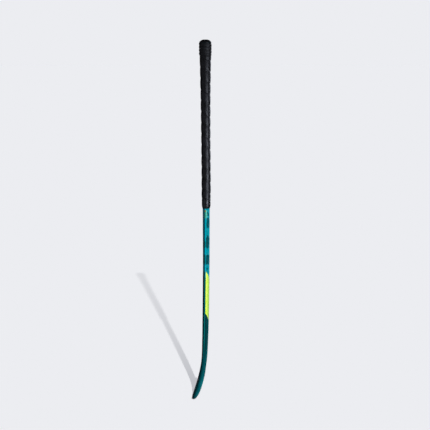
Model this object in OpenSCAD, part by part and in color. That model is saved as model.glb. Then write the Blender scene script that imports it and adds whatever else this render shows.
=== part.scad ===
// Field hockey stick: a hollow composite shell with a J-shaped head, laminate
// tubes and cores inside it, and a wound grip on its handle. Millimetres.
// The playing face looks toward -X, the toe toward +Y and the butt toward +Z.
// The stick stands on the lowest point of its head.

/* [Head] */
// Radius of the centreline where the head bends
bend_radius = 34; // [33:0.5:36]
// Angle the head turns through, from the shaft to the toe, in degrees
bend_sweep = 165; // [155:1:168]
// Straight run between the bend and the rounded end of the toe
toe_run = 26; // [20:1:32]
// Length of the rounded end of the toe
toe_round = 20.5; // [18:0.5:21]
// Radius of the corner between the playing face and the side
face_corner = 5.2; // [3:0.2:6]

/* [Laminate] */
// Wall of the outer shell
shell_wall = 1.8; // [1.2:0.1:2.2]
// Wall of each of the two tubes inside the shaft
tube_wall = 1; // [0.6:0.1:1.4]
// Thickness of the woven sock over the head core
sock_wall = 0.4; // [0.3:0.1:0.8]
// Bond line between neighbouring layers
bond = 0.05; // [0.03:0.01:0.08]

/* [Grip] */
// Height of the lower end of the grip tape
grip_bottom = 522; // [520:1:524]
// Distance from one turn of the grip tape to the next
wrap_pitch = 28.7; // [24:0.1:34]
// Thickness of the double-sided tape on the handle
adhesive_wall = 0.15; // [0.1:0.05:0.3]
// Thickness of the cushion under the grip tape
cushion_wall = 0.95; // [0.6:0.05:1.2]
// Thickness of the grip tape at its seams
grip_wall = 1; // [0.8:0.05:1.2]
// Height of the swell between two seams
wrap_swell = 0.6; // [0.2:0.05:0.7]

/* [Butt] */
// Radius of the collar of doubled turns
collar_radius = 16.5; // [16.1:0.1:17]
// Height of the lower end of the collar
collar_bottom = 911; // [911:1:918]
// Radius of the flat in the middle of the domed cap
cap_flat = 5; // [4:0.5:8]

/* [Prints] */
// Thickness of the printed panel and patch
print_wall = 0.2; // [0.1:0.05:0.4]
// Height of the upper end of the panel at the heel side
panel_top = 353; // [340:1:356]
// Height of the lower end of the panel at the heel side
panel_bottom = 242; // [235:1:250]
// Drop of the panel's slanted ends from the heel side to the middle of the back
panel_slant = 28; // [10:1:30]

/* [Hidden] */

// Points round a section: per front corner, and per quarter of the back.
CORNER_STEPS = 4;
BACK_STEPS = 7;
LOOP = 2 * CORNER_STEPS + 2 * BACK_STEPS + 1;
CAP_STEPS = 12;

heel_half = 24;
shell_top = 946;
cap_top = 952;
grip_top = 943;
tube_top = 925;
tube_bottom = 96.5;

z_bend = heel_half + bend_radius;
bend_length = bend_radius * bend_sweep * PI / 180;
toe_start = bend_length + toe_run;

// Height against the place of the playing face: the bow of the stick.
face_line = [
    [0, -40.1], [35, -27.8], [65, -19.8], [95, -14.8], [125, -11.6], [170, -10.2],
    [220, -9.5], [300, -8.7], [380, -8.4], [500, -9.1], [600, -9.3], [700, -10.2],
    [800, -11.5], [880, -13.3], [946, -14.6]
];
// Distance past the start of the bend against half the width of the stick.
half_widths = [
    [-888, 13], [-830, 13.6], [-740, 13.7], [-640, 13.7], [-540, 14], [-440, 15.4],
    [-340, 18.8], [-240, 22], [-140, 23.6], [0, 23.9], [54, 24], [62, 23.9],
    [101, 22.6], [128, 20.5], [150, 20.5]
];
// Distance past the start of the bend against the thickness of the stick.
thicknesses = [
    [-888, 25.2], [-850, 24.4], [-790, 21.9], [-740, 20.3], [-640, 18.9],
    [-540, 18.7], [-440, 18.4], [-340, 17.4], [-240, 16.6], [-140, 16],
    [-70, 14.7], [0, 14.6], [54, 15.2], [100, 16.4], [128, 15], [150, 14]
];
// Share of the thickness in front of the widest place, at the head.
FRONT_SHARE = 0.33;
// Fullness of the rounded back: 2 is an ellipse.
BACK_POWER = 2.35;
// Share of the thickness that is left at the end of the toe, and how far the
// face side of the toe draws back as a share of what is lost.
TOE_KEEP = 0.5;
TOE_LIFT = 0.25;
// Where the oval of the handle starts and ends turning into the flat-faced head.
OVAL_END = -460;
FLAT_START = -260;

// Smooth curve through stations [position, value].
function clamp01(x) = min(1, max(0, x));
function span(t, x, i = 0) = i >= len(t) - 2 || x < t[i + 1][0] ? i : span(t, x, i + 1);
function rise(t, i) = let (a = max(i - 1, 0), b = min(i + 1, len(t) - 1))
    (t[b][1] - t[a][1]) / (t[b][0] - t[a][0]);
function curve(t, x) = let (
        q = min(max(x, t[0][0]), t[len(t) - 1][0]), i = span(t, q),
        h = t[i + 1][0] - t[i][0], u = (q - t[i][0]) / h
    )
    (2 * u * u * u - 3 * u * u + 1) * t[i][1] + (u * u * u - 2 * u * u + u) * h * rise(t, i)
    + (3 * u * u - 2 * u * u * u) * t[i + 1][1] + (u * u * u - u * u) * h * rise(t, i + 1);

// Centreline of the stick at u past the start of the bend: [y, z, turned angle].
function spine(u) = let (
        a = min(max(u, 0), bend_length) / bend_length * bend_sweep,
        run = u < 0 ? u : max(u - bend_length, 0)
    )
    [
        bend_radius * (1 - cos(a)) + run * sin(a),
        z_bend - bend_radius * sin(a) - run * cos(a), a
    ];
function at_height(z) = z_bend - z;

// Section of half width w and thickness t, f from 0 (oval) to 1 (flat face),
// inset by d: points [across, back from the face], the heel side first.
function corner_point(w, b0, r, d, q) = [w - r + r * sin(q), b0 - (b0 - d) * cos(q)];
function back_point(w, b0, t, p, q) =
    [w * sign(cos(q)) * pow(abs(cos(q)), 2 / p), b0 + (t - b0) * pow(abs(sin(q)), 2 / p)];
function section(w, t, f, d) = let (
        r = (1 - f) * 0.9 * (w - d) + f * max(face_corner - d, 0.8),
        b0 = t * ((1 - f) / 2 + f * FRONT_SHARE), p = 2 + (BACK_POWER - 2) * f
    )
    concat(
        [for (i = [0 : CORNER_STEPS - 1]) corner_point(w - d, b0, r, d, 90 * i / CORNER_STEPS)],
        [for (i = [0 : 2 * BACK_STEPS]) back_point(w - d, b0, t - d, p, 90 * i / BACK_STEPS)],
        [for (i = [CORNER_STEPS - 1 : -1 : 0]) let (
                c = corner_point(w - d, b0, r, d, 90 * i / CORNER_STEPS)
            ) [-c[0], c[1]]]
    );
// The side of that section from the middle to the heel, s = 1, or the toe, s = -1.
function half_section(w, t, f, d, mid, s) = let (
        all = section(w, t, f, d),
        part = [for (i = [0 : CORNER_STEPS + BACK_STEPS]) [max(all[i][0], mid), all[i][1]]],
        half = concat([[mid, part[0][1]]], part)
    )
    s > 0 ? half : [for (i = [len(half) - 1 : -1 : 0]) [-half[i][0], half[i][1]]];

// Ring of a section at station [u, toe angle], placed in space.
function flatness(u) = let (k = clamp01((u - OVAL_END) / (FLAT_START - OVAL_END)))
    k * k * (3 - 2 * k);
function toe_loss(s) = curve(thicknesses, s[0]) * (1 - TOE_KEEP) * (1 - cos(s[1]));
function place(s, d, pts) = let (
        u = s[0] + (s[1] > 0 ? (toe_round - d) * sin(s[1]) : 0), c = spine(u),
        x = TOE_LIFT * toe_loss(s)
    )
    [for (p = pts) let (z = c[1] - p[0] * sin(c[2]))
        [curve(face_line, z) + x + p[1], c[0] - p[0] * cos(c[2]), z]];
function ring(s, d) =
    place(s, d, [for (p = section(
        curve(half_widths, s[0]), curve(thicknesses, s[0]) - toe_loss(s), flatness(s[0]), d
    )) [p[0] * cos(s[1]), p[1]]]);
function half_ring(s, d, mid, side) =
    place(s, d, half_section(
        curve(half_widths, s[0]), curve(thicknesses, s[0]), flatness(s[0]), d, mid, side
    ));

// Stations, from the butt to the toe.
shaft_heights = [
    946, 925, 905, 880, 850, 810, 770, 730, 690, 650, 610, 570, 540, 515, 490, 465,
    440, 410, 380, 350, 320, 290, 260, 230, 205, 180, 160, 142, 126, 111, 96.5, 84, 71
];
shaft = [for (z = shaft_heights) [at_height(z), 0]];
bend_angles = concat(
    [for (i = [0 : 6]) 15 * i], [for (i = [1 : 5]) 90 + (bend_sweep - 90) * i / 5]
);
bend = [for (a = bend_angles) [bend_length * a / bend_sweep, 0]];
toe = concat(
    [[bend_length + toe_run / 2, 0]], [for (q = [0, 18, 36, 52, 66, 77, 85]) [toe_start, q]]
);
stick = concat(shaft, bend, toe);
head = concat(
    [[at_height(tube_bottom - 0.5), 0]],
    [for (s = shaft) if (s[0] > at_height(tube_bottom - 5)) s], bend, toe
);
function between(top, bottom) = concat(
    [[at_height(top), 0]],
    [for (s = shaft) if (s[0] > at_height(top) + 0.5 && s[0] < at_height(bottom) - 0.5) s],
    [[at_height(bottom), 0]]
);

// The middle of the outline, which stands over the origin: from the face at the
// bottom of the head to the back of the collar, and from the heel to the toe.
head_points = [for (s = concat(bend, toe), p = ring(s, 0)) p];
butt_x = curve(face_line, shell_top) + curve(thicknesses, at_height(shell_top)) / 2;
x_mid = (min([for (p = head_points) p[0]]) + butt_x + collar_radius) / 2;
y_mid = (max([for (p = head_points) p[1]]) - heel_half) / 2;
module centred() {
    translate([-x_mid, -y_mid, 0])
        children();
}

// Triangles between ring i and ring i + 1, both of n points, numbered from base.
// Turned faces the other way.
function strip(n, i, base, turned) = [
    for (j = [0 : n - 1]) let (
            a = base + i * n + j, b = base + i * n + (j + 1) % n, c = a + n, e = b + n
        )
        each turned ? [[a, c, b], [b, c, e]] : [[a, b, c], [b, e, c]]
];
function lid(n, first, turned) = [
    for (j = [1 : n - 2]) turned
        ? [first, first + j, first + j + 1] : [first, first + j + 1, first + j]
];
function side(n, m, base, turned) = [
    for (i = [0 : m - 2]) each strip(n, i, base, turned)
];
// Joins ring a to ring b, where both are rims of the same end.
function rim(n, a, b, turned) = [
    for (j = [0 : n - 1]) let (k = (j + 1) % n)
        each turned ? [[a + j, a + k, b + j], [a + k, b + k, b + j]]
            : [[a + j, b + j, a + k], [a + k, b + j, b + k]]
];

// A solid through rings, the first nearest the butt.
module loft(rings) {
    n = len(rings[0]);
    m = len(rings);
    polyhedron(
        points = [for (r = rings) each r],
        faces = concat(side(n, m, 0, false), lid(n, 0, false), lid(n, n * (m - 1), true))
    );
}

// A sleeve between outer and inner rings, open at both ends.
module sleeve(outer, inner) {
    n = len(outer[0]);
    m = len(outer);
    k = len(inner);
    base = n * m;
    polyhedron(
        points = concat([for (r = outer) each r], [for (r = inner) each r]),
        faces = concat(
            side(n, m, 0, false), side(n, k, base, true),
            rim(n, 0, base, false), rim(n, n * (m - 1), base + n * (k - 1), true)
        )
    );
}

// A pocket between outer and inner rings, open at the butt end and closed at the toe.
module pocket(outer, inner) {
    n = len(outer[0]);
    m = len(outer);
    k = len(inner);
    base = n * m;
    polyhedron(
        points = concat([for (r = outer) each r], [for (r = inner) each r]),
        faces = concat(
            side(n, m, 0, false), side(n, k, base, true), rim(n, 0, base, false),
            lid(n, n * (m - 1), true), lid(n, base + n * (k - 1), false)
        )
    );
}

// A patch of thickness print_wall on the shell. rows holds the stations at each
// column of the section, so that the ends can slant.
module patch(first, last, steps, top, bottom, slant) {
    cols = last - first + 1;
    rows = steps + 1;
    function spot(i, j, d) = let (
            drop = slant * j / BACK_STEPS,
            z = top - drop + (bottom - top) * i / steps
        )
        ring([at_height(z), 0], d)[first + j];
    function id(i, j, k) = (k * rows + i) * cols + j;
    function quad(a, b, c, e) = [[a, b, c], [a, c, e]];
    polyhedron(
        points = [
            for (d = [-bond - print_wall, -bond], i = [0 : steps], j = [0 : cols - 1])
                spot(i, j, d)
        ],
        faces = concat(
            [for (i = [0 : steps - 1], j = [0 : cols - 2])
                each quad(id(i, j, 0), id(i, j + 1, 0), id(i + 1, j + 1, 0), id(i + 1, j, 0))],
            [for (i = [0 : steps - 1], j = [0 : cols - 2])
                each quad(id(i, j, 1), id(i + 1, j, 1), id(i + 1, j + 1, 1), id(i, j + 1, 1))],
            [for (j = [0 : cols - 2])
                each quad(id(0, j, 0), id(0, j, 1), id(0, j + 1, 1), id(0, j + 1, 0))],
            [for (j = [0 : cols - 2])
                each quad(id(steps, j, 0), id(steps, j + 1, 0), id(steps, j + 1, 1), id(steps, j, 1))],
            [for (i = [0 : steps - 1])
                each quad(id(i, 0, 0), id(i + 1, 0, 0), id(i + 1, 0, 1), id(i, 0, 1))],
            [for (i = [0 : steps - 1])
                each quad(id(i, cols - 1, 0), id(i, cols - 1, 1), id(i + 1, cols - 1, 1),
                    id(i + 1, cols - 1, 0))]
        )
    );
}

// Outer laminate of shaft and head in one, open at the butt.
module shell() {
    color([0.0, 0.36, 0.4])
        pocket([for (s = stick) ring(s, 0)], [for (s = stick) ring(s, shell_wall)]);
}

// Inner laminate tube: two side by side make the web that stiffens the shaft.
module tube(side) {
    d = shell_wall + bond;
    run = between(tube_top, tube_bottom);
    color([0.12, 0.13, 0.14])
        sleeve(
            [for (s = run) half_ring(s, d, bond / 2, side)],
            [for (s = run) half_ring(s, d + tube_wall, bond / 2 + tube_wall, side)]
        );
}

// Foam inside one tube.
module foam(side) {
    d = shell_wall + tube_wall + 2 * bond;
    color([0.93, 0.9, 0.78])
        loft([for (s = between(tube_top, tube_bottom))
            half_ring(s, d, 1.5 * bond + tube_wall, side)]);
}

module tube_heel_side() {
    tube(1);
}

module tube_toe_side() {
    tube(-1);
}

module foam_heel_side() {
    foam(1);
}

module foam_toe_side() {
    foam(-1);
}

// Dense core that gives the head its weight.
module head_core() {
    color([0.8, 0.72, 0.5])
        loft([for (s = head) ring(s, shell_wall + sock_wall + 2 * bond)]);
}

// Woven sock between the head core and the shell.
module head_sock() {
    d = shell_wall + bond;
    color([0.85, 0.76, 0.3])
        pocket([for (s = head) ring(s, d)], [for (s = head) ring(s, d + sock_wall)]);
}

// Plug that closes the shell at the butt.
module butt_plug() {
    color([0.3, 0.3, 0.32])
        loft([for (z = [shell_top, tube_top + 0.1]) ring([at_height(z), 0], shell_wall + bond)]);
}

// Cap over the end of the shell and of the grip, domed up to a small flat.
module butt_cap() {
    radius = collar_radius - 0.6;
    foot = grip_top + 0.1;
    dome = (cap_top - foot) / sqrt(1 - pow(cap_flat / radius, 2));
    last = acos(cap_flat / radius);
    translate([butt_x, 0, 0])
        color([0.05, 0.05, 0.06])
            rotate_extrude($fn = 96)
                difference() {
                    polygon(concat(
                        [[0, foot]],
                        [for (i = [0 : CAP_STEPS]) let (q = last * i / CAP_STEPS)
                            [radius * cos(q), i == CAP_STEPS ? cap_top : foot + dome * sin(q)]],
                        [[0, cap_top]]
                    ));
                    translate([0, grip_top])
                        square([radius - 2.3, shell_top + 0.1 - grip_top]);
                }
}

// Heights at which the layers on the handle are drawn.
handle = between(grip_top, grip_bottom);
adhesive_out = bond + adhesive_wall;
cushion_out = adhesive_out + bond + cushion_wall;
grip_out = cushion_out + bond + grip_wall;
// How much the binding squeezes the lower end of the grip tape.
SQUEEZE = 0.45;
function grip_edge(z) = grip_out - SQUEEZE * clamp01((grip_bottom + 19 - z) / 5);

// Double-sided tape round the handle.
module adhesive_tape() {
    color([0.8, 0.8, 0.78])
        sleeve([for (s = handle) ring(s, -adhesive_out)], [for (s = handle) ring(s, -bond)]);
}

// Foam underlay of the grip.
module cushion() {
    color([0.35, 0.35, 0.38])
        sleeve(
            [for (s = handle) ring(s, -cushion_out)],
            [for (s = handle) ring(s, -adhesive_out - bond)]
        );
}

// Share of a turn between a seam of the grip tape and its lower end, on the face.
SEAM_PHASE = 0.49;

// Share of a turn at point j of a section, from the face by way of the heel side.
function turn(j) = j < CORNER_STEPS ? 0.25 * j / CORNER_STEPS
    : j <= CORNER_STEPS + 2 * BACK_STEPS ? 0.25 + 0.5 * (j - CORNER_STEPS) / (2 * BACK_STEPS)
    : 0.75 + 0.25 * (j - CORNER_STEPS - 2 * BACK_STEPS) / CORNER_STEPS;
// Swell of the grip tape at height z and point j: nothing at a seam.
function swell(z, j) = let (
        k = (z - grip_bottom) / wrap_pitch + turn(j) - SEAM_PHASE, f = 2 * (k - floor(k)) - 1,
        fade = clamp01((z - grip_bottom - 18) / 8) * clamp01((collar_bottom - 4 - z) / 8)
    )
    wrap_swell * fade * (1 - pow(abs(f), 3));

// Grip tape wound down the handle, each turn over the edge of the last.
module grip_tape() {
    zs = concat(
        [grip_top], [for (z = [collar_bottom : -wrap_pitch / 6 : grip_bottom + 18]) z],
        [grip_bottom + 14, grip_bottom]
    );
    outer = [for (z = zs) let (
            low = ring([at_height(z), 0], -grip_edge(z)),
            high = ring([at_height(z), 0], -grip_edge(z) - 1)
        )
        [for (j = [0 : LOOP - 1]) low[j] + (high[j] - low[j]) * swell(z, j)]];
    color([0.09, 0.09, 0.1])
        sleeve(outer, [for (s = handle) ring(s, -cushion_out - bond)]);
}

// Doubled turns at the butt, trued to a cylinder.
module butt_collar() {
    run = between(grip_top + 3, collar_bottom - 3);
    color([0.07, 0.07, 0.08])
        difference() {
            translate([butt_x, 0, collar_bottom])
                cylinder(h = grip_top - collar_bottom, r = collar_radius, $fn = 96);
            loft([for (s = run) ring(s, -grip_out - bond)]);
        }
}

// Tape that binds the lower end of the grip and tapers down to the shaft.
module finishing_tape() {
    end_out = grip_out - SQUEEZE;
    outer = [
        [538, grip_edge(538) + 0.25], [536, end_out + 0.35], [527, end_out + 0.4],
        [522.5, end_out + 0.3], [519.5, end_out], [516.5, 1.2], [513.5, 0.4]
    ];
    step = grip_bottom - 0.3;
    inner = [
        [538, grip_edge(538) + bond], [536, end_out + bond], [step, end_out + bond],
        [step, bond], [513.5, bond]
    ];
    color([0.12, 0.12, 0.13])
        sleeve(
            [for (p = outer) ring([at_height(p[0]), 0], -p[1])],
            [for (p = inner) ring([at_height(p[0]), 0], -p[1])]
        );
}

// Bright panel printed over the back of the shaft, with slanted ends.
module panel_print() {
    color([0.82, 0.98, 0.27])
        patch(CORNER_STEPS, CORNER_STEPS + 2 * BACK_STEPS, 5, panel_top, panel_bottom, panel_slant);
}

// Small printed patch below the grip.
module patch_print() {
    color([0.3, 0.75, 0.68])
        patch(CORNER_STEPS - 1, CORNER_STEPS + 1, 1, 510, 489, 0);
}

centred() shell();
centred() tube_heel_side();
centred() tube_toe_side();
centred() foam_heel_side();
centred() foam_toe_side();
centred() head_core();
centred() head_sock();
centred() butt_plug();
centred() butt_cap();
centred() adhesive_tape();
centred() cushion();
centred() grip_tape();
centred() butt_collar();
centred() finishing_tape();
centred() panel_print();
centred() patch_print();
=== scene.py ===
"""Looks for the field hockey stick: a lacquered shell, a wound grip, bindings and
prints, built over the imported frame. Shapes are worked out in millimetres in the
design's own coordinates and moved into the frame, in metres, at the end."""

import math

import bpy
import numpy as np
from mathutils import Matrix, Vector


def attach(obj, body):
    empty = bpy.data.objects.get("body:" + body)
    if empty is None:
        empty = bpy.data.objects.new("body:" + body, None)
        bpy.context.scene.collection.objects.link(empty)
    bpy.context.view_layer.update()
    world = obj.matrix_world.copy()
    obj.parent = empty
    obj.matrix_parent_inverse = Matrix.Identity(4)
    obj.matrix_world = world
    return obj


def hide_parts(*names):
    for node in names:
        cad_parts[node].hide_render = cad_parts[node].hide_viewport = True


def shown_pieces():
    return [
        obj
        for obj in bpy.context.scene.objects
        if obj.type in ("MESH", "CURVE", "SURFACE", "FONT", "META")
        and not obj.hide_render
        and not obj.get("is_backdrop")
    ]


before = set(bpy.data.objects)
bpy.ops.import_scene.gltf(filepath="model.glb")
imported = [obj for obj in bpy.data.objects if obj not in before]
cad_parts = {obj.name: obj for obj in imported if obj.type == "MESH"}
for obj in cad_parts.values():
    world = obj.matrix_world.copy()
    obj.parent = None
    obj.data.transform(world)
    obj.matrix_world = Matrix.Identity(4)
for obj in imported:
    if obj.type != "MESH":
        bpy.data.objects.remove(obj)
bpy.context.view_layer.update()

# ---------------------------------------------------------------- the stick's shape

# Middle of the outline in the design's coordinates, which is the frame's origin.
MIDDLE = np.array([-12.04, 35.1265, 0.0])
BEND_RADIUS = 34.0
BEND_SWEEP = math.radians(165)
Z_BEND = 24 + BEND_RADIUS
BEND_LENGTH = BEND_RADIUS * BEND_SWEEP
TOE_START = BEND_LENGTH + 26
TOE_ROUND = 20.5
TOE_KEEP = 0.5
TOE_LIFT = 0.25
FACE_CORNER = 5.2
FRONT_SHARE = 0.33
BACK_POWER = 2.35
SHELL_TOP = 946.0
GRIP_TOP = 943.0
GRIP_BOTTOM = 522.0
COLLAR_BOTTOM = 911.0
COLLAR_RADIUS = 16.5
CAP_TOP = 952.0
CAP_RADIUS = 15.9
CAP_FLAT = 5.0
CUSHION_OUT = 1.2
SHELL_WALL = 1.72
# Each wound strip: the height of a turn, the strip's own width and the turns up to its start.
GRIP_PITCH, GRIP_STRIP, GRIP_TURNS = 28.7, 31.7, 15.49
COLLAR_PITCH, COLLAR_STRIP, COLLAR_TURNS = 8.4, 11.0, 5
BINDING_PITCH = 7.4
BINDING_TOP = 538.0
BINDING_END = 513.5
PANEL_TOP = 353
PANEL_BOTTOM = 242
PANEL_SLANT = 28
BADGE_TOP = 510
BADGE_BOTTOM = 489
# Below this height, a little above the lower end of the tapes, the shell is meshed finely.
BARE_TOP = 545

# Height against the place of the playing face.
FACE_LINE = np.array([
    [0, -40.1], [35, -27.8], [65, -19.8], [95, -14.8], [125, -11.6], [170, -10.2],
    [220, -9.5], [300, -8.7], [380, -8.4], [500, -9.1], [600, -9.3], [700, -10.2],
    [800, -11.5], [880, -13.3], [946, -14.6],
])
# Distance past the start of the bend against half the width.
HALF_WIDTHS = np.array([
    [-888, 13], [-830, 13.6], [-740, 13.7], [-640, 13.7], [-540, 14], [-440, 15.4],
    [-340, 18.8], [-240, 22], [-140, 23.6], [0, 23.9], [54, 24], [62, 23.9],
    [101, 22.6], [128, 20.5], [150, 20.5],
])
# Distance past the start of the bend against the thickness.
THICKNESSES = np.array([
    [-888, 25.2], [-850, 24.4], [-790, 21.9], [-740, 20.3], [-640, 18.9],
    [-540, 18.7], [-440, 18.4], [-340, 17.4], [-240, 16.6], [-140, 16],
    [-70, 14.7], [0, 14.6], [54, 15.2], [100, 16.4], [128, 15], [150, 14],
])


def smooth(x, low=0.0, high=1.0):
    k = np.clip((np.asarray(x, float) - low) / (high - low), 0, 1)
    return k * k * (3 - 2 * k)


def curve(table, x):
    """Smooth curve through stations [position, value]."""
    xs, ys = table[:, 0], table[:, 1]
    slope = np.empty(len(xs))
    slope[1:-1] = (ys[2:] - ys[:-2]) / (xs[2:] - xs[:-2])
    slope[0] = (ys[1] - ys[0]) / (xs[1] - xs[0])
    slope[-1] = (ys[-1] - ys[-2]) / (xs[-1] - xs[-2])
    q = np.clip(x, xs[0], xs[-1])
    i = np.clip(np.searchsorted(xs, q, side="right") - 1, 0, len(xs) - 2)
    h = xs[i + 1] - xs[i]
    u = (q - xs[i]) / h
    return (
        (2 * u**3 - 3 * u**2 + 1) * ys[i] + (u**3 - 2 * u**2 + u) * h * slope[i]
        + (3 * u**2 - 2 * u**3) * ys[i + 1] + (u**3 - u**2) * h * slope[i + 1]
    )


def section(turn, width, thick, flat, inset):
    """Points (across, back from the face) of a section. turn runs 0 to 0.25 round the
    corner at the heel side, to 0.75 over the back, to 1 round the toe side's corner,
    and 1 to 2 over the face back to the heel side."""
    w = width - inset
    r = (1 - flat) * 0.9 * w + flat * np.maximum(FACE_CORNER - inset, 0.8)
    front = thick * ((1 - flat) / 2 + flat * FRONT_SHARE)
    power = 2 / (2 + (BACK_POWER - 2) * flat)
    q = np.where(turn < 0.5, turn, 1 - turn) * 2 * math.pi
    side = np.where(turn < 0.5, 1.0, -1.0)
    corner_across = side * (w - r + r * np.sin(q))
    corner_back = front - (front - inset) * np.cos(q)
    q = (turn - 0.25) * 2 * math.pi
    cos, sin = np.cos(q), np.sin(q)
    back_across = w * np.sign(cos) * np.abs(cos) ** power
    back_back = front + (thick - inset - front) * np.abs(sin) ** power
    face_across = (w - r) * (2 * turn - 3)
    on_back = (turn >= 0.25) & (turn <= 0.75)
    on_face = turn > 1
    across = np.where(on_face, face_across, np.where(on_back, back_across, corner_across))
    back = np.where(on_face, inset + 0 * across, np.where(on_back, back_back, corner_back))
    return across, back


def stick_points(u, turn, inset=0.0, toe=0.0):
    """Points on the stick at u past the start of the bend, toe the angle of its end."""
    u, turn, inset, toe = np.broadcast_arrays(*(np.asarray(a, float) for a in (u, turn, inset, toe)))
    thick = curve(THICKNESSES, u)
    loss = thick * (1 - TOE_KEEP) * (1 - np.cos(toe))
    flat = smooth(u, -460, -260)
    across, back = section(turn, curve(HALF_WIDTHS, u), thick - loss, flat, inset)
    across = across * np.cos(toe)
    along = u + (TOE_ROUND - inset) * np.sin(toe)
    angle = np.clip(along, 0, BEND_LENGTH) / BEND_LENGTH * BEND_SWEEP
    run = np.where(along < 0, along, np.maximum(along - BEND_LENGTH, 0))
    y = BEND_RADIUS * (1 - np.cos(angle)) + run * np.sin(angle)
    z = Z_BEND - BEND_RADIUS * np.sin(angle) - run * np.cos(angle)
    y = y - across * np.cos(angle)
    z = z - across * np.sin(angle)
    return np.stack([curve(FACE_LINE, z) + TOE_LIFT * loss + back, y, z], -1), back / thick


BUTT_X = float(curve(FACE_LINE, SHELL_TOP) + curve(THICKNESSES, Z_BEND - SHELL_TOP) / 2)


def around(share):
    """Turn at a share of the way round, from the middle of the face by the heel side."""
    share = np.asarray(share, float) % 1
    out = (share - 0.02) / 0.96
    out = np.where(share < 0.02, 1.5 + share * 25, out)
    return np.where(share > 0.98, 1 + (share - 0.98) * 25, out)


def handle_points(z, share, out):
    return stick_points(Z_BEND - np.asarray(z, float), around(share), -np.asarray(out, float))[0]


# ---------------------------------------------------------------- meshes

def face_outward(mesh, co):
    """Turn a closed mesh's faces over if they wind inward, which makes its volume negative."""
    mesh.calc_loop_triangles()
    corners = np.empty(3 * len(mesh.loop_triangles), np.int32)
    mesh.loop_triangles.foreach_get("vertices", corners)
    a, b, c = co[corners].reshape(-1, 3, 3).transpose(1, 0, 2)
    if (a * np.cross(b, c)).sum() < 0:
        mesh.flip_normals()


def add_mesh(name, points, faces, uv=None, **values):
    """A smooth closed mesh from points in design millimetres, with point attributes."""
    mesh = bpy.data.meshes.new(name)
    co = (np.asarray(points, float).reshape(-1, 3) - MIDDLE) / 1000
    mesh.from_pydata(co.tolist(), [], [tuple(int(i) for i in f) for f in faces])
    face_outward(mesh, co)
    for key, value in values.items():
        attribute = mesh.attributes.new(key, "FLOAT", "POINT")
        attribute.data.foreach_set("value", np.asarray(value, np.float32).ravel())
    if uv is not None:
        corners = np.empty(len(mesh.loops), np.int64)
        mesh.loops.foreach_get("vertex_index", corners)
        layer = mesh.uv_layers.new(name="Surface")
        layer.data.foreach_set("uv", np.asarray(uv, np.float32).reshape(-1, 2)[corners].ravel())
    mesh.polygons.foreach_set("use_smooth", np.ones(len(mesh.polygons), bool))
    mesh.update()
    mesh.validate()
    obj = bpy.data.objects.new(name, mesh)
    bpy.context.scene.collection.objects.link(obj)
    return obj


def finish_piece(obj, material, slot, *nodes):
    obj.data.materials.append(material)
    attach(obj, "root")
    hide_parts(*nodes)
    return obj


def grid_faces(rows, cols, base=0, closed=True, flip=False):
    """Quads between rows of points, closed round or open at the sides."""
    i, j = np.meshgrid(np.arange(rows - 1), np.arange(cols if closed else cols - 1), indexing="ij")
    a = base + i * cols + j
    b = base + i * cols + (j + 1) % cols
    quads = np.stack([a, b, b + cols, a + cols], -1).reshape(-1, 4)
    return quads[:, ::-1] if flip else quads


def loop_lengths(rings):
    """Distance round each ring from the middle of the face, by way of the heel side."""
    steps = np.linalg.norm(np.roll(rings, -1, 1) - rings, axis=2)
    return np.concatenate([np.zeros((len(rings), 1)), np.cumsum(steps, 1)[:, :-1]], 1)


# ---------------------------------------------------------------- material helpers

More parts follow.
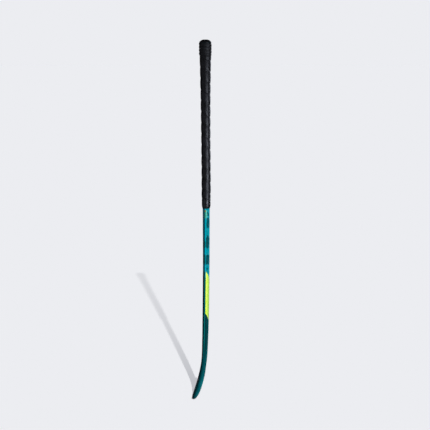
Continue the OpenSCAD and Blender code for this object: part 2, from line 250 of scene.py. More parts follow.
class Nodes:
    """A short way to write a node tree."""

    def __init__(self, name):
        self.material = bpy.data.materials.new(name)
        self.material.use_nodes = True
        self.tree = self.material.node_tree
        self.shader = self.tree.nodes["Principled BSDF"]
        self.coords = self.tree.nodes.new("ShaderNodeTexCoord").outputs["Object"]

    def put(self, socket, value):
        if isinstance(value, bpy.types.NodeSocket):
            self.tree.links.new(value, socket)
        elif isinstance(value, (tuple, list)) and len(value) == 3 and socket.type == "RGBA":
            socket.default_value = (*value, 1)
        else:
            socket.default_value = value

    def node(self, kind, out=0, settings=(), **inputs):
        made = self.tree.nodes.new(kind)
        for key, value in dict(settings).items():
            setattr(made, key, value)
        for key, value in inputs.items():
            self.put(made.inputs[int(key[1:]) if key[1:].isdigit() else key], value)
        return made.outputs[out]

    def math(self, operation, a, b=0.0, c=0.0):
        return self.node("ShaderNodeMath", settings={"operation": operation}, i0=a, i1=b, i2=c)

    def step(self, value, low, high, to_low=0.0, to_high=1.0):
        return self.node(
            "ShaderNodeMapRange", settings={"interpolation_type": "SMOOTHSTEP"},
            i0=value, i1=low, i2=high, i3=to_low, i4=to_high,
        )

    def scaled(self, scale, coords=None):
        return self.node("ShaderNodeMapping", i0=coords or self.coords, i3=scale)

    def noise(self, scale, detail=2.0, roughness=0.5, coords=None):
        return self.node(
            "ShaderNodeTexNoise", Scale=scale, Detail=detail, Roughness=roughness,
            Vector=coords or self.coords,
        )

    def attribute(self, name):
        return self.node("ShaderNodeAttribute", out=2, settings={"attribute_name": name})

    def mix(self, factor, a, b, blend="MIX"):
        made = self.tree.nodes.new("ShaderNodeMix")
        made.data_type = "RGBA"
        made.blend_type = blend
        self.put(made.inputs[0], factor)
        self.put(made.inputs[6], a)
        self.put(made.inputs[7], b)
        return made.outputs[2]

    def ramp(self, factor, stops):
        made = self.tree.nodes.new("ShaderNodeValToRGB")
        band = made.color_ramp
        while len(band.elements) < len(stops):
            band.elements.new(0.5)
        for element, (place, colour) in zip(band.elements, stops):
            element.position = place
            element.color = (*colour, 1)
        self.put(made.inputs[0], factor)
        return made.outputs[0]

    def part(self, axis, coords=None):
        """One coordinate of a point, axis 0, 1 or 2."""
        split = self.tree.nodes.new("ShaderNodeSeparateXYZ")
        self.put(split.inputs[0], coords or self.coords)
        return split.outputs[axis]

    def height(self):
        return self.part(2)

    def grey(self, value):
        return self.node("ShaderNodeCombineXYZ", i0=value, i1=value, i2=value)

    def shaded(self, colour, factor):
        return self.mix(1.0, colour, self.grey(factor), "MULTIPLY")

    def bump(self, *layers):
        """layers are (height socket, strength, distance in metres), the coarsest first."""
        normal = None
        for height, strength, distance in layers:
            made = self.tree.nodes.new("ShaderNodeBump")
            self.put(made.inputs["Height"], height)
            self.put(made.inputs["Strength"], strength)
            self.put(made.inputs["Distance"], distance)
            if normal is not None:
                self.put(made.inputs["Normal"], normal)
            normal = made.outputs[0]
        self.put(self.shader.inputs["Normal"], normal)

    def set(self, **inputs):
        for key, value in inputs.items():
            self.put(self.shader.inputs[key.replace("_", " ")], value)
        return self.material


def tone(text, gain=1.0):
    """Linear colour from hexadecimal, made lighter or darker by gain."""
    parts = [int(text[i:i + 2], 16) / 255 for i in (0, 2, 4)]
    return tuple(gain * (c / 12.92 if c <= 0.04045 else ((c + 0.055) / 1.055) ** 2.4) for c in parts)


# ---------------------------------------------------------------- shell

def patch_field(place, z):
    """How far a point lies inside a dark patch of the pattern, in millimetres. place is
    0 to 1 from face to back on the heel side, 0 to -1 over the face, -1 to -2 on the toe
    side. Each patch is (place, height, half size, half height, slant)."""
    patches = [
        (0.75, 500, 0.11, 7, -0.012), (0.80, 476, 0.19, 14, 0), (0.72, 427, 0.25, 18, -0.001),
        (0.16, 421, 0.36, 10, 0), (0.55, 380, 0.62, 13, 0.002), (0.68, 357, 0.10, 3, 0.01),
        (0.14, 343, 0.24, 7, 0.01),
    ]
    rng = np.random.default_rng(11)
    for height in np.arange(238, 508, 13.5):
        for low, high in ((-0.95, -0.15), (-1.95, -1.1)):
            patches.append((
                rng.uniform(low, high), height + rng.uniform(-5, 5), rng.uniform(0.14, 0.42),
                rng.uniform(5, 13), rng.uniform(-0.012, 0.012),
            ))
    for height in np.arange(20, 235, 21):
        patches.append((
            rng.uniform(-1.95, 0.95), height + rng.uniform(-6, 6), rng.uniform(0.2, 0.5),
            rng.uniform(6, 16), rng.uniform(-0.01, 0.01),
        ))
    field = np.full(np.shape(place), -8.0)
    for at, height, half, tall, slant in patches:
        dz = z - height
        across = (place - at - slant * dz + 1.5) % 3 - 1.5
        size = ((np.abs(across) / half) ** 3 + (np.abs(dz) / tall) ** 3) ** (1 / 3)
        field = np.maximum(field, (1 - size) * min(tall, 16 * half))
    return field


def build_shell():
    turns = np.concatenate([
        1.5 + np.linspace(0, 0.5, 6)[:-1], np.linspace(0, 0.25, 9)[:-1],
        np.linspace(0.25, 0.75, 41)[:-1], np.linspace(0.75, 1, 9)[:-1],
        1 + np.linspace(0, 0.5, 6)[:-1],
    ])
    n = len(turns)
    hidden = np.arange(SHELL_TOP, BARE_TOP, -14.0)
    bare = np.arange(BARE_TOP, Z_BEND, -2.4)
    bend = np.arange(0, TOE_START - 0.5, 1.9)
    toe = np.radians([0, 8, 16, 24, 32, 40, 47, 54, 60, 66, 71, 75, 79, 82.5, 85.5, 88])
    u = np.concatenate([Z_BEND - hidden, Z_BEND - bare, bend, np.full(len(toe), TOE_START)])
    end = np.concatenate([np.zeros(len(u) - len(toe)), toe])
    outer, share = stick_points(u[:, None], turns[None], 0.0, end[:, None])
    m = len(u)
    inner_toe = np.radians([0, 18, 36, 52, 66, 75, 82, 88])
    inner_u = np.concatenate([
        Z_BEND - np.arange(SHELL_TOP, Z_BEND, -16.0), np.arange(0, TOE_START - 1, 5.0),
        np.full(len(inner_toe), TOE_START),
    ])
    inner_end = np.concatenate([np.zeros(len(inner_u) - len(inner_toe)), inner_toe])
    inner, inner_share = stick_points(inner_u[:, None], turns[None], SHELL_WALL, inner_end[:, None])
    k = len(inner_u)
    faces = list(grid_faces(m, n)) + list(grid_faces(k, n, m * n, flip=True))
    rim = m * n
    faces += [(a, rim + a, rim + (a + 1) % n, (a + 1) % n) for a in range(n)]
    # The end of the toe is closed from side to side.
    for first, flip in (((m - 1) * n, False), (m * n + (k - 1) * n, True)):
        for a in range(n // 2):
            corners = (a, a + 1, (n - a - 1) % n, (n - a) % n)
            quad = list(dict.fromkeys(first + corner for corner in corners))
            if len(quad) > 2:
                faces.append(quad[::-1] if flip else quad)
    on_face = turns[None] > 1
    place = np.where(on_face, turns[None] - 2, np.where(turns[None] <= 0.5, share, -1 - share))
    face = np.where(on_face, 1 - np.abs(2 * turns[None] - 3), 0) + 0 * share
    lengths = loop_lengths(outer)
    steps = np.linalg.norm(np.diff(outer.mean(1), axis=0), axis=1)
    along = np.concatenate([[0], np.cumsum(steps)])[:, None] + 0 * lengths
    uv = np.concatenate([
        np.stack([lengths, along], -1).reshape(-1, 2) / 100,
        np.zeros((k * n, 2)),
    ])
    obj = add_mesh(
        "stick_shell", np.concatenate([outer.reshape(-1, 3), inner.reshape(-1, 3)]), faces, uv,
        share=np.concatenate([share.ravel(), inner_share.ravel()]),
        patch=np.concatenate([patch_field(place, outer[..., 2]).ravel(), np.full(k * n, -8.0)]),
        inside=np.concatenate([np.zeros(m * n), np.ones(k * n)]),
        face=np.concatenate([face.ravel(), np.zeros(k * n)]),
    )
    return finish_piece(obj, lacquer(), "lacquer", "shell")


def lacquer():
    """Printed pattern under clear lacquer, teal above and petrol streaks below, with painted light and
    shade across the section and on the head.
    """
    n = Nodes("lacquer")
    height = n.height()
    wander = n.noise(70, 3, 0.6)
    stretched = n.noise(1, 3, 0.55, n.scaled((170, 170, 14)))
    share = n.math("ADD", n.attribute("share"), n.math("MULTIPLY_ADD", stretched, 0.04, -0.02))
    # Across the section (share) these ramps are print with painted light: the bright line near share 0.36
    # is partly a painted highlight, and the lighter back edge towards share 1 is partly painted light
    # from the right.
    upper = n.ramp(share, [
        (0.0, tone("05454f", 0.7)), (0.10, tone("04525c", 0.75)), (0.325, tone("05485c", 0.5)),
        (0.36, tone("00a5b4", 0.68)), (0.45, tone("00a0b0", 0.6)), (0.55, tone("00838f", 0.62)),
        (0.70, tone("007a86", 0.72)), (0.85, tone("008b96", 0.82)), (1.0, tone("00a0ac", 0.95)),
    ])
    dark = n.ramp(share, [
        (0.0, tone("10383a", 0.8)), (0.10, tone("173e40", 0.72)), (0.325, tone("002e32", 0.5)),
        (0.36, tone("009099", 0.62)), (0.45, tone("006d75", 0.58)), (0.55, tone("004850", 0.62)),
        (0.70, tone("023a3e", 0.72)), (0.85, tone("00565f", 0.82)), (1.0, tone("026a72", 0.95)),
    ])
    edge = n.math("ADD", n.attribute("patch"), n.math("MULTIPLY_ADD", wander, 5.0, -2.5))
    patch = n.step(edge, -0.25, 0.35)
    face = n.step(n.attribute("face"), 0.08, 0.6)
    top = n.mix(patch, n.mix(face, upper, tone("008e9a", 0.6)), n.mix(face, dark, tone("01545c", 0.6)))
    # Here too the lighter band from share 0.275 to 0.41 is partly a painted highlight, and the lighter
    # back edge towards share 1 is partly painted light from the right.
    petrol = n.ramp(share, [
        (0.0, tone("001a1e", 0.7)), (0.245, tone("001b20", 0.6)), (0.275, tone("05605f", 0.62)),
        (0.41, tone("056062", 0.6)), (0.45, tone("002c32", 0.55)), (0.60, tone("022e34", 0.56)),
        (0.66, tone("053a3c", 0.6)), (0.82, tone("014a50", 0.65)), (1.0, tone("006a6c", 0.8)),
    ])
    # Painted shade on the head: one petrol colour, dark at the face side and lighter towards the back, as
    # light from the right falls on it.
    head = n.ramp(share, [
        (0.0, tone("001c20", 0.7)), (0.14, tone("001c20", 0.62)), (0.30, tone("00343a", 0.56)),
        (0.50, tone("023f45", 0.6)), (0.70, tone("014d53", 0.7)), (0.86, tone("006062", 0.85)),
        (1.0, tone("0c686a", 0.95)),
    ])
    low = n.mix(n.step(height, 0.16, 0.10), petrol, head)
    # Painted light: the colour grows up to 2.3 times lighter towards the bottom, where the bend's
    # underside lies in shade.
    underside_painted_light = n.step(height, 0.105, 0.0, 1.0, 2.3)
    low = n.shaded(low, underside_painted_light)
    low = n.mix(face, low, tone("034a4f", 0.75))
    low = n.mix(n.math("MULTIPLY", patch, 0.22), low, tone("001c20"))
    slanted = n.math("MULTIPLY_ADD", n.attribute("share"), 0.03, height)
    colour = n.mix(n.step(slanted, 0.352, 0.340), top, low)
    # A faint twill of the laminate shows through the print.
    surface = n.tree.nodes.new("ShaderNodeTexCoord").outputs["UV"]
    diagonal = n.math("ADD", n.part(0, surface), n.part(1, surface))
    twill = n.math("SINE", n.math("MULTIPLY", diagonal, 220.0))
    colour = n.shaded(colour, n.math("MULTIPLY_ADD", twill, 0.05, 0.97))
    colour = n.shaded(colour, n.math("MULTIPLY_ADD", n.noise(35, 4, 0.6), 0.22, 0.89))
    colour = n.mix(n.attribute("inside"), colour, tone("1c1e20"))
    n.bump((n.noise(90, 2), 0.10, 0.0004), (n.noise(420, 2), 0.12, 0.00006))
    rough = n.math("MULTIPLY_ADD", n.noise(55, 4, 0.65), 0.16, 0.30)
    return n.set(
        Base_Color=colour, Roughness=rough, IOR=1.3, Specular_IOR_Level=0.3,
        Specular_Tint=(0.05, 0.8, 0.9), Coat_Weight=0.02, Coat_Roughness=0.1,
    )


# ---------------------------------------------------------------- wound tape

def wound(name, place, top, bottom, start, pitch, width, outside, inside, wobble=0.4, per_turn=72):
    """A strip wound down from turn to turn, its upper edge over the turn above. start is
    the height of its upper edge at the first turn. place(z, share, height) gives points,
    outside(down, z, s) and inside(down) the strip's two surfaces, where down is the
    distance below its upper edge and s counts the turns."""
    first = (start - top - width + 1.5) / pitch
    last = (start - bottom - 1.5) / pitch
    s = np.arange(math.ceil(first * per_turn), math.floor(last * per_turn) + 1) / per_turn
    sway = 0.6 * np.sin(2 * math.pi * 0.37 * s + 1) + 0.4 * np.sin(2 * math.pi * 1.71 * s)
    upper = start - pitch * s + wobble * sway
    low = np.maximum(0, upper - top)
    high = np.minimum(width, upper - bottom)
    even = np.concatenate([
        [0, 0.01, 0.03, 0.055, 0.09], np.linspace(0.14, 0.80, 12), [0.83, 0.86, 0.885, 0.91, 0.95, 1],
    ])
    back = np.array([1, 0.9, 0.6, 0.3, 0.19, 0.14, 0.10, 0.05, 0])
    down = low[:, None] + (high - low)[:, None] * even[None]
    under = low[:, None] + (high - low)[:, None] * back[None]
    share = (s % 1)[:, None]
    z_out = upper[:, None] - down
    z_in = upper[:, None] - under
    out = place(z_out, share + 0 * down, outside(down, z_out, s[:, None]))
    inn = place(z_in, share + 0 * under, inside(under))
    rings = np.concatenate([out, inn], 1)
    m, n = rings.shape[:2]
    faces = list(grid_faces(m, n, flip=True))
    for ring, flip in ((0, False), ((m - 1) * n, True)):
        cap = [ring + i for i in range(n)]
        faces.append(cap[::-1] if flip else cap)
    v = np.concatenate([down, under], 1)
    edge = np.minimum(v - low[:, None], high[:, None] - v)
    return add_mesh(name, rings, faces, edge=edge)


def grip_outside(down, z, s):
    fade = np.clip((z - GRIP_BOTTOM - 18) / 8, 0, 1) * np.clip((COLLAR_BOTTOM - 1 - z) / 8, 0, 1)
    shown = GRIP_PITCH - 1
    k = np.clip(down / shown, 0, 1)
    crown = 0.84 * (1 + 0.10 * np.sin(9.7 * s) + 0.06 * np.sin(23.3 * s + 2))
    dome = crown * fade * (1 - np.abs(2 * k - 1) ** 2.6)
    groove = 0.34 * smooth(k, 0.82, 1)
    tuck = 0.2 * np.clip((down - shown) / 4, 0, 1)
    lip = 0.14 * (1 - np.clip(down, 0, 1)) ** 2
    squeeze = 0.45 * np.clip((GRIP_BOTTOM + 19 - z) / 5, 0, 1)
    swell = 0.85 * smooth(z, COLLAR_BOTTOM - 13, COLLAR_BOTTOM)
    swell = swell * np.clip((COLLAR_BOTTOM + 0.5 - z) / 1.5, 0, 1)
    return 0.76 + dome + swell - squeeze - groove - tuck - lip


def grip_inside(down):
    return 0.48 * smooth(-down, -5.5, -3.4)


def build_grip():
    obj = wound(
        "grip_wrap", lambda z, share, h: handle_points(z, share, CUSHION_OUT + 0.06 + h),
        GRIP_TOP, GRIP_BOTTOM, GRIP_BOTTOM + GRIP_TURNS * GRIP_PITCH, GRIP_PITCH, GRIP_STRIP,
        grip_outside, grip_inside,
    )
    return finish_piece(obj, grip_material("grip_film", 0.35), "grip", "grip_tape")


def collar_points(z, share, h):
    low = handle_points(z, share, 2.12)
    y = low[..., 1]
    x = low[..., 0] - BUTT_X
    stretch = (COLLAR_RADIUS - 0.03) / np.maximum(np.hypot(x, y), 1e-6)
    rim = np.stack([BUTT_X + x * stretch, y * stretch, low[..., 2]], -1)
    return low + (rim - low) * h[..., None]


def collar_outside(down, z, _):
    k = np.clip(down / (COLLAR_PITCH - 0.8), 0, 1)
    body = 0.74 + 0.26 * (1 - np.abs(2 * k - 1) ** 2.2)
    body = body - 0.2 * smooth(k, 0.72, 1) - 0.1 * (1 - np.clip(down / 0.8, 0, 1)) ** 2
    taper = 0.76 + 0.24 * smooth(z, COLLAR_BOTTOM, COLLAR_BOTTOM + 6)
    return body * taper


def build_collar():
    obj = wound(
        "collar_wrap", collar_points, GRIP_TOP, COLLAR_BOTTOM,
        COLLAR_BOTTOM + COLLAR_TURNS * COLLAR_PITCH, COLLAR_PITCH, COLLAR_STRIP,
        collar_outside, lambda down: 0.26 * smooth(-down, -3.6, -2.6), wobble=0.5,
    )
    return finish_piece(obj, grip_material("collar_film", 0.45), "grip", "butt_collar")


def grip_material(name, gloss):
    """Soft black tape: fine grain, small creases along the turns, painted shade along the strip's edges,
    and more sheen lower down.
    """
    n = Nodes(name)
    grain = n.noise(1300, 3, 0.6)
    creases = n.noise(1, 4, 0.6, n.scaled((260, 260, 90)))
    cloud = n.noise(45, 4, 0.6)
    colour = n.mix(n.step(cloud, 0.35, 0.7), tone("09090b"), tone("0f0f13"))
    colour = n.mix(n.math("MULTIPLY", n.step(grain, 0.55, 0.75), 0.5), colour, tone("17171c"))
    # Painted shade along the strip's edges, in the seams between the turns.
    colour = n.mix(n.step(n.attribute("edge"), 1.3, 0.2), colour, tone("050506"))
    rough = n.math("MULTIPLY_ADD", cloud, 0.22, gloss)
    n.bump((creases, 0.45, 0.0007), (grain, 0.35, 0.00012))
    worn = n.step(n.height(), 0.54, 0.93, 0.75, 0.42)
    return n.set(Base_Color=colour, Roughness=rough, Specular_IOR_Level=worn)


# ---------------------------------------------------------------- binding, cap, prints

def sleeve(name, share, z_out, out, z_in, inn, edge):
    """A closed sleeve on the handle from rows of heights and distances out."""
    outer = handle_points(z_out, share + 0 * z_out, out)
    inner = handle_points(z_in, share + 0 * z_in, inn)
    m, k, n = len(outer), len(inner), share.size
    faces = list(grid_faces(m, n)) + list(grid_faces(k, n, m * n, flip=True))
    for j in range(n):
        e = (j + 1) % n
        faces.append((j, m * n + j, m * n + e, e))
        a, b = (m - 1) * n, m * n + (k - 1) * n
        faces.append((a + j, a + e, b + e, b + j))
    edge = np.concatenate([edge.ravel(), np.full(k * n, 3.0)])
    return add_mesh(name, np.concatenate([outer.reshape(-1, 3), inner.reshape(-1, 3)]), faces, edge=edge)


def build_binding():
    """Glossy tape over the grip's end, about three turns, pressed down to the shaft."""
    profile = np.array([
        [BINDING_TOP, 1.92], [537.6, 2.0], [536, 2.0], [530, 2.05], [524.5, 2.05], [522, 1.98],
        [520.1, 1.85], [518.5, 1.62], [517.1, 1.3], [515.7, 0.95], [514.5, 0.62], [BINDING_END, 0.3],
    ])
    z = np.arange(BINDING_TOP, BINDING_END - 0.1, -0.44)[:, None]
    share = np.arange(72)[None] / 72
    k = ((z - BINDING_END) / BINDING_PITCH + share) % 1
    ledge = 0.16 * smooth(k, 0, 0.9) - 0.16 * smooth(k, 0.93, 1)
    crease = 0.05 * np.sin(34 * share * math.pi + 0.9 * z) * np.sin(0.55 * z + 8 * share)
    out = np.interp(-z, -profile[:, 0], profile[:, 1])
    out = out + smooth(z, BINDING_END, BINDING_END + 3) * (ledge + crease)
    z_in = np.array([BINDING_TOP, GRIP_BOTTOM - 0.1, GRIP_BOTTOM - 0.4, BINDING_END])[:, None]
    inn = np.array([1.62, 1.62, 0.06, 0.06])[:, None]
    edge = np.abs(k - 0.96) * BINDING_PITCH + 0.2
    obj = sleeve("end_binding", share, z + 0 * out, out, z_in + 0 * share, inn + 0 * share, edge)
    n = Nodes("binding_film")
    creases = n.noise(1, 4, 0.65, n.scaled((420, 420, 160)))
    cloud = n.noise(120, 3)
    colour = n.mix(n.step(cloud, 0.35, 0.7), tone("101113"), tone("191b1e"))
    # Painted shade along each turn's edge, at the step where the turn above overlaps it.
    colour = n.mix(n.step(n.attribute("edge"), 0.8, 0.2), colour, tone("060607"))
    n.bump((creases, 0.5, 0.0006), (n.noise(900, 2), 0.15, 0.00006))
    n.set(Base_Color=colour, Roughness=n.math("MULTIPLY_ADD", cloud, 0.2, 0.14), Specular_IOR_Level=0.42)
    return finish_piece(obj, n.material, "binding", "finishing_tape")


def build_cap():
    """Moulded cap: a skirt over the end of the shell, a low dome and a dimple in its flat."""
    foot = GRIP_TOP + 0.1
    dome = (CAP_TOP - foot) / math.sqrt(1 - (CAP_FLAT / CAP_RADIUS) ** 2)
    climb = np.radians(np.arange(11, 71.2, 4))
    arc = [(CAP_RADIUS * math.cos(a), foot + dome * math.sin(a)) for a in climb]
    profile = [
        (0, 946.12), (6, 946.12), (12.9, 946.12), (13.4, 945.8), (13.6, 945.2), (13.6, 943.2),
        (13.8, 943.12), (15.4, 943.12), (15.75, 943.3), (15.85, 943.6), (15.7, 944.2),
        (15.66, 944.5), *arc,
        (CAP_FLAT, CAP_TOP), (4.2, CAP_TOP), (3.4, CAP_TOP), (3.1, 951.92), (2.9, 951.7),
        (2.7, 951.6), (1.6, 951.63), (1.3, 951.4), (0.9, 951.3), (0, 951.3),
    ]
    n = 96
    angles = 2 * math.pi * np.arange(n) / n
    rings = [[(BUTT_X + r * math.cos(a), -r * math.sin(a), z) for a in angles] for r, z in profile[1:-1]]
    points = np.array(rings).reshape(-1, 3)
    m = len(rings)
    faces = list(grid_faces(m, n, flip=True))
    first, last = len(points), len(points) + 1
    points = np.concatenate([points, [[BUTT_X, 0, profile[0][1]], [BUTT_X, 0, profile[-1][1]]]])
    for j in range(n):
        e = (j + 1) % n
        faces.append((first, j, e))
        faces.append((last, (m - 1) * n + e, (m - 1) * n + j))
    obj = add_mesh("end_cap", points, faces)
    material = Nodes("cap_rubber")
    cloud = material.noise(60, 4, 0.6)
    grain = material.noise(1500, 2)
    colour = material.mix(material.step(cloud, 0.35, 0.7), tone("08080a"), tone("0f0f12"))
    material.bump((material.noise(300, 2), 0.1, 0.0003), (grain, 0.3, 0.00008))
    material.set(Base_Color=colour, Roughness=material.math("MULTIPLY_ADD", cloud, 0.2, 0.42))
    return finish_piece(obj, material.material, "cap", "butt_cap")


def skin(name, turn_low, turn_high, top, bottom, slant, rows, cols, low=0.03, high=0.24):
    """A thin printed skin on the shell, its ends slanted, thinned to its edges."""
    t = np.linspace(turn_low, turn_high, cols)[None]
    i = np.linspace(0, 1, rows)[:, None]
    z = top - slant * (t - 0.25) / 0.25 + (bottom - top) * i
    to_end = np.minimum(i, 1 - i) * (top - bottom)
    to_side = np.minimum(t - turn_low, turn_high - t) * 100
    rise = low + 0.03 + (high - low - 0.03) * smooth(np.minimum(to_end, to_side), -0.2, 0.9)
    outer = stick_points(Z_BEND - z, t + 0 * z, -rise)[0]
    inner = stick_points(Z_BEND - z, t + 0 * z, -low + 0 * rise)[0]
    n, m = cols, rows
    faces = list(grid_faces(m, n, closed=False)) + list(grid_faces(m, n, m * n, closed=False, flip=True))
    base = m * n
    for j in range(n - 1):
        faces.append((j, base + j, base + j + 1, j + 1))
        a = (m - 1) * n
        faces.append((a + j, a + j + 1, base + a + j + 1, base + a + j))
    for k in range(m - 1):
        a, b = k * n, (k + 1) * n
        faces.append((a, b, base + b, base + a))
        a, b = a + n - 1, b + n - 1
        faces.append((a, base + a, base + b, b))
    share = np.concatenate([(t + 0 * z).ravel()] * 2)
    return add_mesh(name, np.concatenate([outer.reshape(-1, 3), inner.reshape(-1, 3)]), faces, turn=share)


def under_lacquer(n, colour, rough):
    """Finish of a print that lies under clear lacquer."""
    return n.set(
        Base_Color=colour, Roughness=rough, Specular_IOR_Level=0.25,
        Coat_Weight=0.25, Coat_Roughness=0.12,
    )


def build_panel():
    panel = skin("lime_panel", 0.274, 0.728, PANEL_TOP, PANEL_BOTTOM, PANEL_SLANT, 110, 44)
    n = Nodes("lime_print")
    # Print with painted light: the paler green towards turn 0.5 is partly painted light from the right.
    colour = n.ramp(n.attribute("turn"), [
        (0.25, tone("d6fb30", 0.62)), (0.33, tone("d2f548", 0.62)), (0.40, tone("c4ee6a", 0.68)),
        (0.50, tone("c2ec7c", 0.75)), (0.75, tone("d0f455", 0.65)),
    ])
    blotch = n.noise(1, 4, 0.6, n.scaled((60, 60, 22)))
    colour = n.mix(n.math("MULTIPLY", n.step(blotch, 0.45, 0.75), 0.35), colour, tone("b4e03c"))
    n.bump((n.noise(90, 2), 0.1, 0.0004), (n.noise(650, 2), 0.15, 0.00006))
    material = under_lacquer(n, colour, n.math("MULTIPLY_ADD", blotch, 0.15, 0.28))
    return finish_piece(panel, material, "lime_print", "panel_print")


def build_badge():
    """Green patch with a small warm corner, lighter towards turn 0.31, partly as a painted highlight on
    the bright line.
    """
    badge = skin("green_patch", 0.19, 0.30, BADGE_TOP, BADGE_BOTTOM, 0, 34, 18)
    n = Nodes("green_print")
    blotch = n.noise(260, 3)
    # The lighter green towards turn 0.31 is partly a painted highlight.
    colour = n.ramp(n.attribute("turn"), [
        (0.19, tone("2f8c74", 0.62)), (0.235, tone("3f9e86", 0.6)), (0.26, tone("46b8a6", 0.6)),
        (0.31, tone("4ac4b4", 0.6)),
    ])
    corner = n.step(n.attribute("turn"), 0.245, 0.235)
    warm = n.math("MULTIPLY", n.step(n.height(), 0.5045, 0.5060), corner)
    colour = n.mix(warm, colour, tone("8a7c34", 0.6))
    colour = n.mix(n.math("MULTIPLY", n.step(blotch, 0.5, 0.7), 0.25), colour, tone("2d8a78"))
    n.bump((n.noise(300, 2), 0.1, 0.0003), (n.noise(1200, 2), 0.1, 0.00005))
    material = under_lacquer(n, colour, n.math("MULTIPLY_ADD", blotch, 0.15, 0.3))
    return finish_piece(badge, material, "green_print", "patch_print")


# ---------------------------------------------------------------- pieces inside

def inner_materials():
    """Plain stuff of the layers that the shell and grip cover."""
    looks = {
        ("tube_heel_side", "tube_toe_side"): ("laminate", "15171a", "24272b", 700, 0.42, 0.0002),
        ("foam_heel_side", "foam_toe_side"): ("foam", "e6dfc2", "f3ecd2", 900, 0.9, 0.0006),
        ("head_core",): ("core", "b99f66", "d2bb84", 500, 0.75, 0.0004),
        ("head_sock",): ("aramid", "c2a63a", "e0c75c", 420, 0.6, 0.0004),
        ("butt_plug",): ("plug", "3b3b40", "4c4c52", 600, 0.55, 0.0002),
        ("adhesive_tape",): ("adhesive", "c8c8c2", "deded8", 500, 0.7, 0.0002),
        ("cushion",): ("cushion", "4a4a50", "5c5c63", 1100, 0.85, 0.0005),
    }
    for names, (slot, low, high, scale, rough, depth) in looks.items():
        n = Nodes(slot)
        cells = n.noise(scale, 3, 0.6)
        weave = n.node("ShaderNodeTexWave", Scale=scale * 0.4, Distortion=1.0, Vector=n.coords)
        pattern = n.math("MULTIPLY_ADD", weave, 0.4, n.math("MULTIPLY", cells, 0.6))
        colour = n.mix(pattern, tone(low), tone(high))
        n.bump((pattern, 0.4, depth))
        n.set(Base_Color=colour, Roughness=n.math("MULTIPLY_ADD", cells, 0.15, rough - 0.07))
        for name in names:
            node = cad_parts[name]
            node.data.materials.clear()
            node.data.materials.append(n.material)


# ---------------------------------------------------------------- studio

# The sun's strength and the way its light travels.
SUN = 3.45
SUN_TRAVEL = Vector((-0.332, 2.5, -1.0))
# Soft light from all round on everything, and from above on the stick alone.
AMBIENT = 0.12
FILL = 0.18
FLOOR_ALBEDO = 0.8
FLOOR_LIGHT = tone("ecedf1")
# Distance behind the stick in metres against the share of light the paper takes.
FADE = [
    (0.11, 1.0), (0.24, 0.96), (0.38, 0.87), (0.53, 0.79), (0.86, 0.65), (1.25, 0.55),
    (1.7, 0.49), (2.3, 0.40),
]
FADE_REACH = 3.0


def glow(name, colour):
    """A stage material that sends out light."""
    n = Nodes(name)
    emission = n.node("ShaderNodeEmission", Color=colour)
    n.put(n.tree.nodes["Material Output"].inputs[0], emission)
    n.tree.nodes.remove(n.shader)
    return n.material


def floor_paper(taken):
    """Paper that sends out what it lacks in taken light, so that it looks even while the
    shadow on it pales with distance. taken is the light that falls on it where it is clear."""
    n = Nodes("floor_paper")
    stops = [(place / FADE_REACH, (share, share, share)) for place, share in FADE]
    fade = n.ramp(n.math("DIVIDE", n.part(1), FADE_REACH), stops)
    albedo = n.math("MULTIPLY", fade, FLOOR_ALBEDO)
    diffuse = n.node("ShaderNodeBsdfDiffuse", Color=albedo)
    level = n.grey(n.math("MULTIPLY", albedo, taken))
    emission = n.node("ShaderNodeEmission", Color=n.mix(1.0, FLOOR_LIGHT, level, "SUBTRACT"))
    both = n.node("ShaderNodeAddShader", i0=emission, i1=diffuse)
    n.put(n.tree.nodes["Material Output"].inputs[0], both)
    n.tree.nodes.remove(n.shader)
    return n.material


def ring_object(name, rings, closed_end):
    """A stage surface from rings of radius and height."""
    n = 96
    angles = 2 * math.pi * np.arange(n) / n
    points = [(r * math.cos(a), r * math.sin(a), z) for r, z in rings for a in angles]
    faces = [tuple(int(i) for i in f) for f in grid_faces(len(rings), n)]
    if closed_end:
        points.append((0, 0, rings[0][1]))
        faces += [(len(points) - 1, (j + 1) % n, j) for j in range(n)]
    mesh = bpy.data.meshes.new(name)
    mesh.from_pydata(points, [], faces)
    mesh.update()
    obj = bpy.data.objects.new(name, mesh)
    bpy.context.scene.collection.objects.link(obj)
    obj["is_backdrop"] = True
    return obj


def receivers(name, pieces):
    """A collection of the pieces that one or more lights are kept to."""
    made = bpy.data.collections.new(name)
    bpy.context.scene.collection.children.link(made)
    for piece in pieces:
        made.objects.link(bpy.data.objects[piece])
    return made


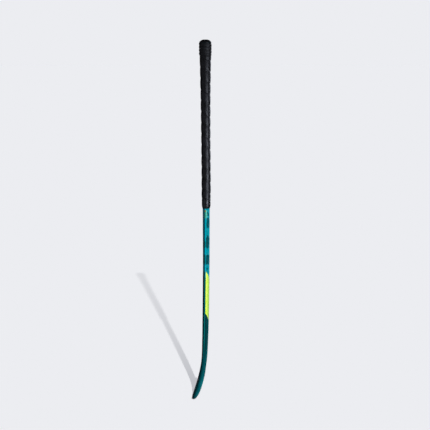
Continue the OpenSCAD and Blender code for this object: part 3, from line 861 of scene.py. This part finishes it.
def build_studio():
    scene = bpy.context.scene
    scene.view_settings.view_transform = "Standard"
    rise = -SUN_TRAVEL.z / SUN_TRAVEL.length
    floor = ring_object("floor", [(1, 0), (6, 0), (40, 0)], True)
    floor.data.materials.append(floor_paper(SUN * rise / math.pi + AMBIENT))
    wall = ring_object("backdrop", [(40, -0.2), (40, 30), (4, 34), (0.5, 34)], False)
    wall.data.materials.append(glow("backdrop_paper", FLOOR_LIGHT))
    for obj in (floor, wall):
        obj.visible_glossy = False
    wall.visible_diffuse = False
    wall.visible_shadow = False

    world = bpy.data.worlds.new("studio")
    scene.world = world
    world.use_nodes = True
    world.node_tree.nodes["Background"].inputs[0].default_value = (AMBIENT, AMBIENT, AMBIENT, 1)
    world.cycles_visibility.glossy = False

    sun = bpy.data.objects.new("sun", bpy.data.lights.new("sun", "SUN"))
    sun.data.energy = SUN
    sun.data.angle = math.radians(0.45)
    sun.rotation_euler = SUN_TRAVEL.to_track_quat("-Z", "Y").to_euler()
    sun.visible_glossy = False
    scene.collection.objects.link(sun)

    fill = bpy.data.objects.new("fill", bpy.data.lights.new("fill", "SUN"))
    fill.data.energy = FILL * math.pi
    fill.data.angle = math.pi
    fill.visible_glossy = False
    scene.collection.objects.link(fill)

    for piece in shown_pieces():
        piece.visible_diffuse = False  # so that no teal light falls on the floor
    stick = receivers("lit_by_boxes", [o.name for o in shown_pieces()])
    shaft = receivers("lit_from_behind", ("stick_shell", "lime_panel", "green_patch"))
    fill.light_linking.receiver_collection = stick
    # Name, pieces lit, degrees round from the front, metres out and up, metres wide and
    # tall, watts, and whether its reflection shows.
    for name, lit, azimuth, distance, height, wide, tall, energy, shine in (
        ("softbox_right", stick, 54, 2.4, 0.30, 0.9, 0.9, 22, True),
        ("softbox_low", stick, 24, 2.4, 0.20, 0.4, 0.4, 7.5, True),
        ("softbox_left", stick, -62, 2.6, 0.9, 0.5, 1.6, 2, True),
        ("softbox_back", stick, 150, 2.6, 1.1, 0.8, 1.6, 16, True),
        ("softbox_back_left", shaft, -140, 2.6, 1.1, 0.8, 1.6, 9, True),
        ("softbox_behind", stick, -165, 2.6, 1.1, 0.8, 1.6, 45, False),
    ):
        light = bpy.data.lights.new(name, "AREA")
        light.shape = "RECTANGLE"
        light.size = wide
        light.size_y = tall
        light.energy = energy
        light.color = (0.80, 0.85, 1.0)
        box = bpy.data.objects.new(name, light)
        a = math.radians(azimuth)
        box.location = (distance * math.sin(a), -distance * math.cos(a), height)
        aim = Vector((0, -0.03, 0.5)) - Vector(box.location)
        box.rotation_euler = aim.to_track_quat("-Z", "Y").to_euler()
        box.visible_glossy = shine
        box.light_linking.receiver_collection = lit
        scene.collection.objects.link(box)


def build_camera():
    """A little above the stick's middle, looking slightly down at its heel side."""
    azimuth = math.radians(0.95)
    rise = math.radians(6.5)
    pitch = math.radians(6.25)
    distance = 4.5
    aside = 0.0231
    data = bpy.data.cameras.new("camera")
    data.lens = 144.1
    data.sensor_width = 36
    data.clip_end = 200
    camera = bpy.data.objects.new("camera", data)
    ahead = Vector((-math.sin(azimuth), math.cos(azimuth), 0))
    right = Vector((math.cos(azimuth), math.sin(azimuth), 0))
    up = Vector((0, 0, 1))
    centre = Vector((-MIDDLE[0] / 1000, -MIDDLE[1] / 1000, CAP_TOP / 2000))
    place = centre - ahead * distance * math.cos(rise) + up * distance * math.sin(rise)
    look = ahead * math.cos(pitch) - up * math.sin(pitch)
    turned = Matrix((right, right.cross(look), -look)).transposed().to_4x4()
    camera.matrix_world = Matrix.Translation(place + right * aside) @ turned
    bpy.context.scene.collection.objects.link(camera)
    bpy.context.scene.camera = camera


build_camera()
build_shell()
build_grip()
build_collar()
build_binding()
build_cap()
build_panel()
build_badge()
inner_materials()
build_studio()
